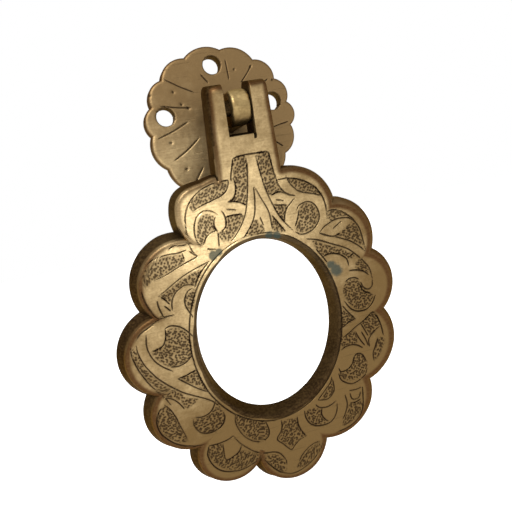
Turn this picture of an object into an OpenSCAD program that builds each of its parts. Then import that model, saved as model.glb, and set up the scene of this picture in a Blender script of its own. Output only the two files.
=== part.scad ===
// Door knocker: a scalloped ring on a slotted neck, hinged on a lug that is riveted into a round back plate.
// X right, Y into the door, Z up. Origin: centre of the back plate, on the door's surface.

/* [Back plate] */
// Diameter of the circle through the notches between the petals
plate_notch_d = 50; // [48:0.5:70]
// Thickness of the plate
plate_t = 5; // [3:0.5:8]
// Height of each petal above the straight line between its two notches
petal_rise = 2.2; // [1:0.1:3]
// Diameter of the circle through the screw holes
screw_circle_d = 39.4; // [34:0.2:42]
// Diameter of the screw holes
screw_hole_d = 6.2; // [4:0.1:7]
// Angle of the two side holes from the upper hole
side_hole_angle = 76; // [60:1:100]

/* [Hinge] */
// Distance of the hinge pin's axis from the door
pin_out = 25; // [19:0.5:32]
// Height of the hinge pin's axis above the plate's centre
pin_up = 1.5; // [-3:0.5:4]
// Diameter of the hinge pin
pin_d = 5; // [3:0.1:6]
// Radial clearance of the pin in the lug
pin_play = 0.08; // [0.03:0.01:0.1]
// Diameter of the lug's round end
lug_d = 11; // [10:0.1:12]
// Width of the lug
lug_w = 6.2; // [4:0.1:7.2]
// Distance of the lug's middle from the plate's centre, to the right
lug_shift = 0.5; // [-1:0.1:1]
// Gap between the lug's right face and the fork
side_gap = 0.3; // [0.3:0.1:1]
// Diameter of the rivet that holds the lug in the plate
rivet_d = 6; // [4:0.1:6.2]
// Depth of the countersink for the rivet's peened head, on the back
rivet_head_t = 1.5; // [0.5:0.1:2]

/* [Fork] */
// Gap between the lug's left face and the fork
slack_gap = 2.1; // [1:0.1:3]
// Gap between the lug's round end and the floor of the slot
floor_gap = 2.9; // [2:0.1:5]
// Width of the saw cut that runs past the slot's floor
kerf_w = 0.7; // [0.4:0.1:1]
// Length of that saw cut
kerf_l = 1.3; // [0.5:0.1:2]
// Thickness of the two arms, front to back
arm_t = 10; // [9:0.5:12]
// Width of the fork at its top
fork_top_w = 19; // [17.6:0.2:24]
// Width of the neck where it meets the ring
neck_root_w = 21.4; // [20:0.2:26]
// Height of the fork above the pin's axis
fork_rise = 7.5; // [6.5:0.5:10]
// Radius on the fork's upper corners
fork_corner_r = 2.5; // [1:0.1:4]

/* [Ring] */
// Distance of the ring's centre below the pin's axis
ring_drop = 73.8; // [70:0.2:86]
// Sideways distance of the ring's centre from the fork's, to the left
ring_lean = 0.8; // [0:0.1:2]
// Width of the oval through the notches
notch_oval_w = 83; // [78:0.5:100]
// Height of the oval through the notches
notch_oval_h = 99.4; // [88:0.2:104]
// Thickness of the ring
ring_t = 6; // [4:0.5:8]
// How far the back of the casting stands out past the edge of its front face
flare = 2.2; // [0.5:0.1:2.5]
// Width of the hole, at the back
hole_w = 47.4; // [30:0.2:54]
// Height of the hole, at the back
hole_h = 60.8; // [44:0.2:66]

/* [Hidden] */
$fn = 64;
eps = 0.01;
brass = [0.62, 0.47, 0.26];
dark_brass = [0.47, 0.34, 0.18];

// the notches between the petals, in degrees clockwise from the top
plate_notches = [-120, -92, -70, -47, -21, 9, 37, 60, 81, 100, 124, 151, 180, 210];
// the ring's notches: degrees clockwise from the top, and distance outside the oval
ring_notches = [[11.3, 4.6], [35.7, 0.9], [64.5, 0.7], [94.7, 0.3], [130.2, -0.2], [162.3, 0.8],
                [192.3, -0.5], [220.6, 1.5], [252.5, 1], [290.3, -2], [328.2, -3.8], [350.2, 5.4]];
// height of each lobe above the straight line between its notches
lobe_rise = [5, 6, 6.3, 7.5, 8, 12, 10.6, 8, 9.4, 9.2, 7.2];

pin_r = pin_d / 2;
lug_r = lug_d / 2;
slot_right = lug_shift + lug_w / 2 + side_gap;
slot_w = slack_gap + lug_w + side_gap;
slot_left = slot_right - slot_w;
slot_floor = -lug_r - floor_gap;
face_y = -arm_t / 2;
ring_back_y = face_y + ring_t;

function oval_r(a, w, h) = 1 / sqrt(pow(2 * sin(a) / w, 2) + pow(2 * cos(a) / h, 2));
function at(a, r) = [r * sin(a), r * cos(a)];
function ring_notch(i) = at(ring_notches[i][0],
                            oval_r(ring_notches[i][0], notch_oval_w, notch_oval_h) + ring_notches[i][1]);
function plate_notch(i) = at(plate_notches[i % len(plate_notches)], plate_notch_d / 2);
// a lobe is an arc of this radius through its two notches
function lobe_r(chord, rise) = (chord * chord / 4 + rise * rise) / (2 * rise);
// the arc's centre, on the inner side of the line from a to b, for notches in clockwise order
function lobe_centre(a, b, rise) =
    let (d = b - a, n = [-d[1], d[0]] / norm(d))
    (a + b) / 2 + n * (rise - lobe_r(norm(d), rise));

// the neck's width at height z, and where its back slopes down to the ring
neck_root_z = ring_notch(0)[1] - ring_drop;
function neck_w(z) = fork_top_w + (neck_root_w - fork_top_w) * (fork_rise - z) / (fork_rise - neck_root_z);
back_slope = 2;
slope_end_z = neck_root_z - back_slope * (arm_t - ring_t);

// the ring leans back by this angle, so that the lowest lobe's back edge rests on the door
bottom_lobe = 5;
bottom_chord = norm(ring_notch(bottom_lobe + 1) - ring_notch(bottom_lobe));
ring_reach = ring_drop + flare + lobe_r(bottom_chord, lobe_rise[bottom_lobe])
             - lobe_centre(ring_notch(bottom_lobe), ring_notch(bottom_lobe + 1), lobe_rise[bottom_lobe])[1];
door_gap = 0.05;
rest_tilt = asin((pin_out - door_gap) / norm([ring_reach, ring_back_y])) - atan2(ring_back_y, ring_reach);

// turns a flat outline drawn in X and Z into a slab from y0 to y1
module slab(y0, y1) {
    translate([0, y1, 0])
        rotate([90, 0, 0])
            linear_extrude(y1 - y0)
                children();
}

// puts a piece of the knocker from its own frame, with the pin's axis at the origin, to its rest place
module hang() {
    translate([0, -pin_out, pin_up])
        rotate([rest_tilt, 0, 0])
            children();
}

module petal(i) {
    a = plate_notch(i);
    b = plate_notch(i + 1);
    translate(lobe_centre(a, b, petal_rise))
        circle(r = lobe_r(norm(b - a), petal_rise));
}

module plate_outline() {
    circle(r = (plate_notch_d - petal_rise) / 2);
    for (i = [0 : len(plate_notches) - 1]) petal(i);
}

// the shank through the plate and its peened head, which fills the countersink on the back
module rivet() {
    translate([lug_shift, 0, pin_up])
        rotate([90, 0, 0]) {
            cylinder(r = rivet_d / 2, h = plate_t);
            cylinder(r1 = rivet_d / 2 + rivet_head_t, r2 = rivet_d / 2, h = rivet_head_t);
        }
}

module screw_hole(a) {
    p = at(a, screw_circle_d / 2);
    translate([p[0], eps, p[1]])
        rotate([90, 0, 0])
            cylinder(d = screw_hole_d, h = plate_t + 2 * eps);
}

module back_plate() {
    color(brass)
        difference() {
            slab(-plate_t, 0) plate_outline();
            for (a = [0, 180, -side_hole_angle, side_hole_angle]) screw_hole(a);
            rivet();
        }
}

module hinge_lug() {
    color(dark_brass)
        difference() {
            union() {
                translate([lug_shift - lug_w / 2, -pin_out, pin_up])
                    rotate([0, 90, 0])
                        cylinder(r = lug_r, h = lug_w);
                translate([lug_shift - lug_w / 2, -pin_out, pin_up - lug_r])
                    cube([lug_w, pin_out - plate_t, lug_d]);
                rivet();
            }
            translate([lug_shift - lug_w / 2 - eps, -pin_out, pin_up])
                rotate([0, 90, 0])
                    cylinder(r = pin_r + pin_play, h = lug_w + 2 * eps);
        }
}

module hinge_pin() {
    color(dark_brass)
        hang()
            translate([-neck_w(0) / 2, 0, 0])
                rotate([0, 90, 0])
                    cylinder(r = pin_r, h = neck_w(0));
}

// a rectangle with its two upper corners rounded, from y0 to y1 and z0 to z1
module rounded_top(y0, y1, z0, z1, r) {
    translate([y0, z0]) square([y1 - y0, z1 - z0 - r]);
    translate([y0 + r, z0]) square([y1 - y0 - 2 * r, z1 - z0]);
    translate([y0 + r, z1 - r]) circle(r = r);
    translate([y1 - r, z1 - r]) circle(r = r);
}

// the fork and neck seen from the side: full thickness down to the root, then sloping to the ring's back
module neck_side() {
    rounded_top(face_y, -face_y, neck_root_z, fork_rise, fork_corner_r);
    polygon([[face_y, neck_root_z + eps], [-face_y, neck_root_z + eps],
             [ring_back_y, slope_end_z], [face_y, slope_end_z]]);
}

// the fork and neck seen from the front
module neck_front() {
    top = neck_w(fork_rise) / 2;
    foot = neck_w(slope_end_z) / 2;
    polygon([[-top, fork_rise], [top, fork_rise], [foot, slope_end_z], [-foot, slope_end_z]]);
}

module ring_outline() {
    last = len(ring_notches) - 1;
    polygon([for (i = [0 : last]) ring_notch(i)]);
    for (i = [0 : last - 1]) {
        a = ring_notch(i);
        b = ring_notch(i + 1);
        translate(lobe_centre(a, b, lobe_rise[i]))
            circle(r = lobe_r(norm(b - a), lobe_rise[i]) + flare);
    }
}

module ring_hole() {
    polygon([for (a = [0 : 4 : 356]) at(a, oval_r(a, hole_w, hole_h))]);
}

module knocker() {
    color(brass)
        hang()
            difference() {
                union() {
                    intersection() {
                        slab(face_y, -face_y) neck_front();
                        rotate([90, 0, 90])
                            translate([0, 0, -neck_root_w])
                                linear_extrude(2 * neck_root_w)
                                    neck_side();
                    }
                    translate([-ring_lean, 0, -ring_drop])
                        slab(face_y, ring_back_y) ring_outline();
                }
                translate([-ring_lean, 0, -ring_drop])
                    slab(face_y - eps, -face_y) ring_hole();
                translate([slot_left, face_y - eps, slot_floor])
                    cube([slot_w, arm_t + 2 * eps, fork_rise - slot_floor + eps]);
                translate([slot_right - kerf_w, face_y - eps, slot_floor - kerf_l])
                    cube([kerf_w, arm_t + 2 * eps, kerf_l + eps]);
                translate([-neck_root_w, 0, 0])
                    rotate([0, 90, 0])
                        cylinder(r = pin_r, h = 2 * neck_root_w);
            }
}

back_plate();
hinge_lug();
hinge_pin();
knocker();
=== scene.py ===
import math
import bpy
import numpy as np
from mathutils import Matrix, Vector


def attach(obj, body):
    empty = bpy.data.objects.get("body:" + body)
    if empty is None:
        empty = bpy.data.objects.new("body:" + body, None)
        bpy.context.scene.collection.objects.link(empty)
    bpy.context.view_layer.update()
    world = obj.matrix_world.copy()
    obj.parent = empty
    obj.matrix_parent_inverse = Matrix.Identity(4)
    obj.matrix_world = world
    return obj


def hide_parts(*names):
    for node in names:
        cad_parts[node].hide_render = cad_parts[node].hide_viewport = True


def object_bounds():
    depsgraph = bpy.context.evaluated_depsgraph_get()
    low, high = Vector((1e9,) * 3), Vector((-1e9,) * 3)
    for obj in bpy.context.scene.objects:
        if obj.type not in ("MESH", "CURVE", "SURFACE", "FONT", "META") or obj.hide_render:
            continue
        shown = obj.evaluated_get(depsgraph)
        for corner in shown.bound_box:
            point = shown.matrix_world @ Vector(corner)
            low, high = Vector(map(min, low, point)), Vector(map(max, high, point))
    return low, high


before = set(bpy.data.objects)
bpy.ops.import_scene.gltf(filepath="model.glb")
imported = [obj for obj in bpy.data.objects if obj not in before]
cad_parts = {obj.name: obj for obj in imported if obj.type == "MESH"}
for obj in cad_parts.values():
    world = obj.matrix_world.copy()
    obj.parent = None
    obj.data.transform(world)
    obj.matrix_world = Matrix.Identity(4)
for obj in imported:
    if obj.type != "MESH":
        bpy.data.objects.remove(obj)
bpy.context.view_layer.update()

mm = 0.001

# the knocker in its own frame, in mm: pin axis at the origin, X right, Y to the door, Z up along the
# casting
knocker = {
    "pinOut": 25, "pinUp": 1.5, "leanDeg": 10.1956,      # where it hangs, and how far it leans back
    "ringCentre": (-0.8, -73.8),
    "notchOval": (83, 99.4),
    "notches": [(11.3, 4.6), (35.7, 0.9), (64.5, 0.7), (94.7, 0.3), (130.2, -0.2), (162.3, 0.8),
                (192.3, -0.5), (220.6, 1.5), (252.5, 1), (290.3, -2), (328.2, -3.8), (350.2, 5.4)],
    "lobeRise": [5, 6, 6.3, 7.5, 8, 12, 10.6, 8, 9.4, 9.2, 7.2],
    "frontY": -5, "ringBackY": 1,
    "flare": 2.15,                                       # how far the back stands out past the front
    "edgeRound": 1.15,                                   # rounding of the front edge
    "holeFront": (25.3, 32.0), "holeBack": (23.75, 30.45),
    "neckTop": 19, "neckRoot": 21.4, "forkTop": 7.5, "seamZ": -20.9,
    "slot": (-4.7, 3.9, -8.4), "kerf": (3.2, -9.7),
    "slopeEnd": -28.9,
    "cell": 0.36,                                        # spacing of the mesh along the outline
}


def hang(points):
    # turns points of the knocker's frame by its lean about X and moves them to the pin: mm in, metres out
    a = math.radians(knocker["leanDeg"])
    x, y, z = np.asarray(points, float).reshape(-1, 3).T
    return np.stack([x, y * math.cos(a) - z * math.sin(a) - knocker["pinOut"],
                     y * math.sin(a) + z * math.cos(a) + knocker["pinUp"]], 1) * mm


def upright(points):
    # the back plate's and the lug's frame is the object's own: only mm to metres
    return np.asarray(points, float).reshape(-1, 3) * mm


def gridFaces(rows, columns, closeRows=False, closeColumns=False, start=0):
    # quads of a grid whose point (r, c) has index start + r * columns + c
    r = np.arange(rows if closeRows else rows - 1)[:, None]
    c = np.arange(columns if closeColumns else columns - 1)[None, :]
    r2, c2 = (r + 1) % rows, (c + 1) % columns
    quads = np.stack([r * columns + c, r * columns + c2, r2 * columns + c2, r2 * columns + c], -1)
    return quads.reshape(-1, 4) + start


def noise(points, cell, seed=0):
    # smooth value noise: random values on a grid of this cell size, blended with a smooth step, from -1 to
    # 1
    p = np.asarray(points, float) / cell
    base = np.floor(p).astype(np.int64)
    f = p - base
    f = f * f * (3 - 2 * f)
    total = np.zeros(len(p))
    for corner in range(2 ** p.shape[1]):
        bits = np.array([(corner >> k) & 1 for k in range(p.shape[1])])
        weight = np.prod(np.where(bits, f, 1 - f), axis=1)
        k = base + bits
        n = seed * 101 + k[:, 0] * 15731 + k[:, 1] * 789221 + (k[:, 2] * 1376312589 if p.shape[1] > 2
                else 0)
        n = (n << 13) ^ n
        n = (n * (n * n * 15731 + 789221) + 1376312589) & 0x7FFFFFFF
        total += weight * (n / 1073741824.0 - 1)
    return total


def smoothCurve(flat, closed=False, steps=5):
    # Catmull-Rom curve through the points of a flat list x, z, x, z: each span is a cubic of its four
    # nearest points
    p = np.array(flat, float).reshape(-1, 2)
    q = np.vstack([p[-1:], p, p[:2]]) if closed else np.vstack([2 * p[0] - p[1], p, 2 * p[-1] - p[-2]])
    a, b, c, d = q[:-3, None], q[1:-2, None], q[2:-1, None], q[3:, None]
    t = (np.arange(steps) / steps)[None, :, None]
    curve = 0.5 * (2 * b + (c - a) * t + (2 * a - 5 * b + 4 * c - d) * t ** 2 + (3 * b - a - 3 * c + d)
                   * t ** 3)
    curve = curve.reshape(-1, 2)
    return np.vstack([curve, curve[:1] if closed else p[-1:]])


def lineDistance(points, curve):
    # distance of each point to a polyline, and the share of the line's length at the nearest place
    best = np.full(len(points), 1e9)
    share = np.zeros(len(points))
    a, d = curve[:-1], np.diff(curve, axis=0)
    length = np.maximum(np.hypot(d[:, 0], d[:, 1]), 1e-9)
    along = np.concatenate([[0], np.cumsum(length)])
    rel = points[:, None, :] - a[None]
    t = np.clip((rel * d[None]).sum(-1) / length ** 2, 0, 1)
    gap = np.hypot(*(rel - t[..., None] * d[None]).transpose(2, 0, 1))
    k = gap.argmin(1)
    row = np.arange(len(points))
    best = gap[row, k]
    share = (along[k] + t[row, k] * length[k]) / along[-1]
    return best, share


def near(points, curve, margin):
    lo, hi = curve.min(0) - margin, curve.max(0) + margin
    return np.nonzero(((points > lo) & (points < hi)).all(1))[0]


def engraving(points, strokes, width):
    # distance to the nearest engraved line over that line's half width, growing where a line runs out; 3 is
    # far away
    gap = np.full(len(points), 3.0)
    for stroke in strokes:
        curve = smoothCurve(stroke)
        k = near(points, curve, 3 * width)
        if len(k):
            d, s = lineDistance(points[k], curve)
            runOut = 1 - np.clip(np.minimum(s, 1 - s) / 0.1, 0, 1)
            gap[k] = np.minimum(gap[k], d / width + 0.45 * runOut)
    return gap


def inside(points, outline):
    # even-odd rule: counts the outline's edges to the right of each point
    a, b = outline, np.roll(outline, -1, axis=0)
    z = points[:, 1][:, None]
    crosses = (a[None, :, 1] > z) != (b[None, :, 1] > z)
    with np.errstate(divide="ignore", invalid="ignore"):
        x = a[:, 0] + (z - a[None, :, 1]) * (b[:, 0] - a[:, 0]) / (b[:, 1] - a[:, 1])
    return (crosses & (points[:, 0][:, None] < x)).sum(1) % 2 == 1


def mattedAreas(points, patches, soft):
    # 1 well inside a matted patch, 0 outside, with an edge this soft
    mask = np.zeros(len(points))
    for patch in patches:
        curve = smoothCurve(patch, closed=True, steps=3)
        k = near(points, curve, soft)
        if len(k):
            d = lineDistance(points[k], curve)[0]
            signed = np.where(inside(points[k], curve[:-1]), d, -d)
            mask[k] = np.maximum(mask[k], np.clip(0.5 + signed / soft, 0, 1))
    return mask


def punchMarks(points, pitch, turnDeg, seed):
    # distance to the nearest punch mark over the pitch: marks sit on a turned grid, each moved by a random
    # amount
    a = math.radians(turnDeg)
    p = points @ np.array([[math.cos(a), math.sin(a)], [-math.sin(a), math.cos(a)]]) / pitch
    base = np.floor(p)
    best = np.full(len(p), 9.0)
    for i in (-1, 0, 1):
        for j in (-1, 0, 1):
            cell = base + (i, j)
            h = np.stack([cell[:, 0] * 127.1 + cell[:, 1] * 311.7 + seed,
                          cell[:, 0] * 269.5 + cell[:, 1] * 183.3 + seed], 1)
            h = np.abs(np.sin(h) * 43758.5453) % 1
            best = np.minimum(best, np.hypot(*(p - cell - 0.5 - (h - 0.5) * 0.75).T))
    return best

# engraved lines on the knocker's front, each a flat list of x, z in the knocker's frame, in mm
knockerLines = [
    # neck panel
    (-5, -15, -3, -14.6, 0, -14.4, 4, -14.5, 7, -14.7), (-4.8, -15, -5.5, -17.5, -6.2, -20, -6.5, -22),
    (-5.6, -20.5, -5.2, -23.5, -5.8, -26, -7, -27.6, -8.6, -28),
    (-8.6, -28, -6.5, -28.2, -4.5, -29, -2.6, -30.2),
    (7, -14.7, 7.5, -19, 8.2, -23, 9, -26, 10.5, -28.3, 12.5, -29.7, 14.3, -30.2),
    (-0.5, -15.5, -0.8, -20, -1.5, -25, -2.3, -29, -3.5, -33, -5.5, -36.5, -8, -39.5, -10, -41),
    (2.6, -15, 3.2, -19.5, 4.1, -25, 5, -28.5, 6, -31.5, 7.4, -35, 9.5, -38.5, 12, -41.7),
    (0.5, -25, 0.3, -29, -0.3, -33, -1.5, -36, -3.5, -38.7, -5.3, -40.5),
    (0.9, -24.9, 2.3, -28.5, 3.8, -32, 4.6, -35, 4.8, -39.5), (5.2, -35, 6.5, -37, 8, -39.5, 9.2, -41.3),
    (1.2, -34.8, 2, -37.8),
    # upper left lobe
    (-10.5, -21.2, -13, -21.6, -16, -22.5, -18.5, -24, -20.5, -25.8, -22, -28.3, -22.8, -31, -23, -35,
     -22.9, -38.5,
     -22.3, -41, -21, -43.3),
    (-10, -21.3, -7.5, -21.3, -7.6, -22.8, -8.8, -24.8, -11, -26, -14, -26.8, -17.5, -27.8, -20.3, -29),
    (-12.4, -31.2, -13.8, -30.1, -15.5, -29.4, -17.3, -29.5, -19, -30.7, -20.2, -33, -20.6, -36, -20.2,
     -38.5,
     -19, -40.3, -17, -41.6, -14.8, -42.1),
    (-13.2, -31.8, -14, -33.5, -13.9, -35.3, -13.2, -36.7),
    (-13.5, -36.3, -15.5, -36.7, -17.2, -37.9, -18.3, -39.8),
    (-11, -30.3, -10.4, -31.5, -10, -33.5, -10.4, -35.6, -11.8, -36.9),
    (-13.2, -37, -13.4, -39.5, -13.5, -41.5),
    (-9.3, -30.3, -8, -30.5, -6.2, -31), (-10, -32.5, -7, -32.5, -4.4, -32.7),
    # upper right lobe
    (8.6, -24.1, 11, -24, 14, -24.5, 16.5, -25.5, 19, -26.8, 21, -28.5, 22.5, -30.5, 23.7, -33, 24.3, -36,
     24.4, -40),
    (11.7, -23.2, 12.3, -25, 13.5, -27, 15.5, -29, 18, -30, 20.5, -30.8, 22.8, -31.9),
    (6, -28.6, 8, -28, 10, -28.4, 12.5, -29.9), (7.2, -30.3, 8.5, -30.6, 10, -31.2),
    (6.3, -31.8, 9, -32.4, 11, -32.8),
    (13.7, -31, 12, -32.5, 10.5, -34, 9.6, -36, 9.3, -38),
    (13.9, -35.2, 14.8, -33.8, 16.5, -33.1, 18.3, -33, 20, -34, 21.2, -36, 21.6, -38.3, 20.9, -40.5, 19,
     -42.5,
     16.5, -43.4, 14.2, -43.3, 12.5, -42), (14.8, -35.2, 13.9, -37.8, 12.8, -40.3),
    # right side, from the top down
    (24.8, -37.4, 27, -37.5, 29.5, -38.5, 31.5, -40, 33.3, -41.7, 34.6, -43.5),
    (21, -44.3, 22.8, -42.6, 25, -41.6, 27, -40.9, 29.5, -40.8, 32, -41.3, 34, -42.8, 35.4, -45, 36.2, -48,
     36.8, -51.3,
     37.3, -54), (21, -44.4, 23.5, -45.7, 26, -46.5, 28.5, -46), (26, -43.8, 27.8, -42.8, 29.2, -41.9),
    (16, -45.3, 20, -46.5, 25, -49, 30, -51.6, 33, -54.2, 36, -57.6, 38, -60.8, 38.8, -65),
    (26, -46.5, 29, -48, 32, -49.6, 35, -52, 37, -54.3),
    (20.8, -52.9, 23, -52.3, 25.5, -52.5, 28, -53.7, 29.8, -55.5, 30.3, -58),
    (30.5, -55.2, 32, -54.3, 33, -53.9), (30.3, -59.8, 33, -60.2, 35.5, -61.2, 37.5, -63),
    (19, -49.5, 21, -52.5, 22.3, -54.8),
    (28.3, -63.6, 30, -62.7, 32, -62.8, 33.6, -63.8),
    (34.2, -65, 35, -67, 36.7, -68.2, 38.3, -67.5, 38.7, -65),
    (27.3, -70.5, 29, -73.3, 31, -75, 33.5, -75.6, 36, -75.2, 38, -73.5, 39.3, -71),
    (33.8, -66, 35, -68.5, 37.6, -70.1),
    (26.4, -72, 28, -74.5, 30.5, -77.8), (23.8, -80.5, 26, -79.7, 28.5, -78.4, 30.8, -78),
    (24.8, -80.8, 24.9, -83.6),
    (25.3, -83.8, 28, -82.5, 31, -80.8, 33, -79.9, 35.5, -78.5, 37.3, -77),
    (32.7, -80.5, 33.8, -83, 35, -85.7),
    (35.6, -85.5, 37.5, -84.5, 39.8, -83.3), (37.5, -76.8, 39, -79, 40, -81.5, 40.6, -84, 41, -87),
    (24, -88.3, 26, -87.5, 28.5, -87.4, 30.5, -88.2, 32.5, -89.8), (30.3, -83, 31.5, -86, 33.3, -89),
    (32.5, -83.5, 33.8, -86.5, 34.7, -89.5), (35.2, -90, 35, -87.5, 36, -86, 38, -84.5),
    (36.4, -96, 36.3, -93, 37.6, -90, 38.8, -87.5),
    (22.3, -95, 23, -96.6, 25.5, -96.4, 27.6, -95, 28.6, -92.5, 30, -91.4, 32, -92.3, 33.2, -95),
    (22, -97, 22.6, -99.5, 24.5, -101.4, 27, -102.5, 30, -101.8, 32.3, -100.4, 33.3, -98.2),
    (19.2, -97.5, 18.5, -99.5, 16.5, -101.5, 14.3, -103.6, 13, -104.8),
    (13, -105, 16.5, -105.6, 18.5, -104.5, 19.6, -102.5, 19.4, -98.5),
    (11.8, -106.3, 13, -107.8, 15.5, -108.6, 18, -108.2, 19.8, -107.3),
    (7.3, -107.5, 7.6, -110.5, 8.8, -113, 11, -114.7, 14, -115.4, 16.8, -115, 18.7, -113.3, 19.8, -110.8,
     20, -108.5),
    (14, -108.5, 13.7, -111, 14.8, -113.3, 16, -114.5), (23.5, -106, 24, -110, 22.8, -113.5, 21.5, -115.5),
    (25.4, -104.9, 28, -105.2, 30.3, -104.9), (25.5, -106, 26, -108.3, 27.3, -109, 29, -108.5, 29.7,
                                               -106.5),
    (25, -109.9, 27.5, -110.2, 29.5, -109.5), (30.7, -105, 30.5, -109, 30.1, -113, 28.3, -116.5, 25.5,
                                               -118.6, 22, -119.6, 18.5, -119.8),
    # bottom
    (-1.7, -108.3, -1.6, -110.5, -2.4, -112.8, -4.1, -115.3, -2, -118, 0.4, -121, 2, -119.8, 4, -118.3, 6.8,
     -117.6),
    (4.3, -108.8, 4.4, -112, 5.3, -115, 6.8, -117.6),
    (-17.6, -101, -17.8, -104.5, -16.3, -109, -14, -112, -11.5, -113.7, -8.8, -114, -7, -112.7, -6.6,
     -110.5, -7.3, -107),
    (-19.5, -108.5, -18, -111.5, -15.5, -114.7, -12.5, -117.5, -9.5, -119, -6, -119.8, -4, -121, -2.3,
     -123.8, -1.8, -126.5),
    (-10, -121.5, -7.8, -125, -5, -128.3, -2.2, -130.2, 1, -130.8, 5, -129.8, 8.5, -127.8, 11, -125.2, 13,
     -122.3),
    (2.8, -126.8, 4.3, -124.6, 6.5, -122.8, 9, -121.6, 11.5, -121.3),
    # left side, from the bottom up
    (-28.5, -110, -29.3, -113, -28.3, -117, -25.5, -120.5, -21.5, -122.3, -17, -122.5, -13, -121.3, -10.5,
     -120.3),
    (-23.5, -110.3, -23.6, -113.5, -23.4, -116.8, -21, -116.7, -18.5, -115.4, -17.3, -113.5),
    (-28.3, -109.6, -25, -109.9, -21, -109.3, -19.5, -108.5),
    (-40.2, -90, -38.5, -92.5, -37.4, -95.5, -36.5, -99, -35.7, -102, -34.8, -105.5),
    (-41.7, -91, -43.4, -94, -43.7, -97.5, -42.5, -101, -39.5, -104.6, -36, -106.9, -32.5, -108.2, -29,
     -108.7),
    (-31.8, -98, -31.9, -100.5, -30.7, -103.2, -28.3, -104.7, -25, -104.7, -22.5, -103.3, -21.3, -101,
     -21.3, -98.8),
    (-31, -97.8, -28.5, -98.2, -26, -97.5, -24.3, -95.6, -23.3, -93.5),
    (-34.2, -82.2, -31.5, -84.8, -28.5, -87.5, -25.5, -89.7), (-34.3, -82.3, -31, -81.8, -27.8, -80.8),
    (-45, -67, -45, -70, -44, -74, -42.3, -77.5, -40, -81, -37, -84.3, -33.5, -87.5, -30, -89.8, -26.5, -92,
     -24, -94, -22.3, -96.5),
    (-46.8, -67.5, -47, -71, -46, -75.5, -44, -80.5, -41.5, -84.8, -39.5, -87.8, -38, -91),
    (-39.3, -87.8, -37.3, -88.8, -35.5, -90.8, -34, -93.6),
    (-41.3, -64.5, -41.9, -68, -41.6, -71, -40.3, -74.3, -38, -77, -35.3, -79.2),
    (-35.2, -64.2, -33.3, -63.7, -30.8, -64.6, -28.7, -66.5, -27, -69),
    (-35.2, -64.3, -35.5, -67, -36.8, -69.6, -39, -70.5, -41, -70.8),
    (-35.8, -77.6, -33, -78, -30.5, -77.3, -28.3, -75.5),
    (-45, -66, -43, -64, -41, -62.9, -38.7, -61.8, -36.5, -60.7, -33.5, -60.3, -31.5, -60.4),
    (-39.6, -47, -39.2, -45, -37.5, -43, -35, -41.3, -32.5, -40.8, -29.5, -40.6, -27, -40.8, -24, -40.4),
    (-36, -47.8, -32, -47, -28, -45.5, -24.5, -44.3, -21.2, -43.2, -22, -42.2, -23.3, -41),
    (-25.6, -41.2, -25.2, -43),
    (-29.5, -38.9, -27.3, -38.3, -25.5, -38.7, -23.5, -38.7),
    (-35.5, -53.3, -33, -52, -30, -50.3, -26.5, -48.5, -23, -47.2, -20, -46.3, -17.5, -45.6),
    (-18, -46, -20.5, -48.3, -22.5, -51, -23.5, -53),
    (-31.8, -58.8, -31.6, -56.5, -30.9, -54.7, -29.8, -53.3, -28.3, -52.3, -26.5, -51.6, -24.5, -51.8, -23,
     -52.6),
    (-34.5, -53.6, -33.3, -55, -32.3, -56.6), (-34, -56.7, -33, -58, -32.4, -58.8),
    (-36, -54.5, -35.8, -57, -35, -60),
    (-40.3, -48.5, -40, -52, -39.3, -55.5, -38, -58.5, -36.5, -61),
    (-24, -53, -26, -53.8, -27.3, -56, -27.4, -58.5, -26.3, -61.3, -25.8, -62.6),
]

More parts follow.
